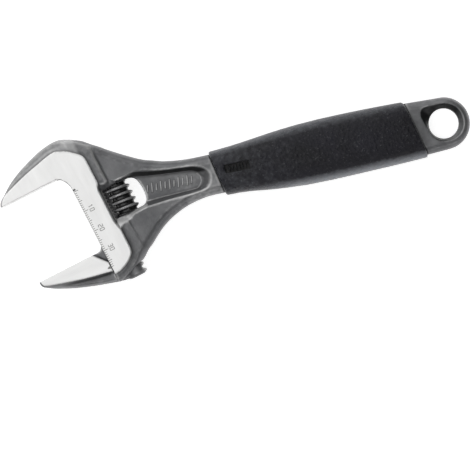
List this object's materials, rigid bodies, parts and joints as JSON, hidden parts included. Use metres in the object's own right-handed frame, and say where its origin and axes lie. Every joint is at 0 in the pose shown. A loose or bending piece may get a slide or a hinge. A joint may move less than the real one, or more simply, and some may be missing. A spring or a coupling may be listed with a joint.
{
  "type": "adjustable wrench",
  "caption": "Wide-opening adjustable wrench: forged body, sliding jaw on a round toothed bar, worm on a pin, moulded grip and hanging eye.",
  "frame": {"origin": "centre of the hanging hole, at the middle of the wrench's thickness", "axes": "+X along the handle from the head towards the eye, +Y to the side the fixed jaw is on, +Z out of the face that carries the scale"},
  "size_m": [0.2177, 0.0695, 0.02],
  "materials": {
    "forged_steel": "satin",
    "jaw_steel": "satin",
    "black_steel": "black oxide",
    "pin_steel": "satin",
    "spring_steel": "bright",
    "grip_elastomer": "matte grained"
  },
  "bodies": {
    "body": {"body": "forged_steel", "worm_pin": "pin_steel", "worm_spring": "spring_steel", "grip": "grip_elastomer"},
    "moving_jaw": {"moving_jaw": "jaw_steel"},
    "worm": {"worm": "black_steel"}
  },
  "joints": [
    {"name": "jaw_slide", "type": "slide", "parent": "body", "child": "moving_jaw", "axis": [-0.2588, 0.9659, 0], "range_m": [0, 0.038]},
    {"name": "worm_spin", "type": "hinge", "parent": "body", "child": "worm", "pos_m": [-0.15098, -0.00276, 0], "axis": [-0.2588, 0.9659, 0], "range_deg": [-1, 4321]}
  ],
  "couplings": [
    {"joint": "worm_spin", "follows": "jaw_slide", "rad_per_m": 1984.2}
  ]
}
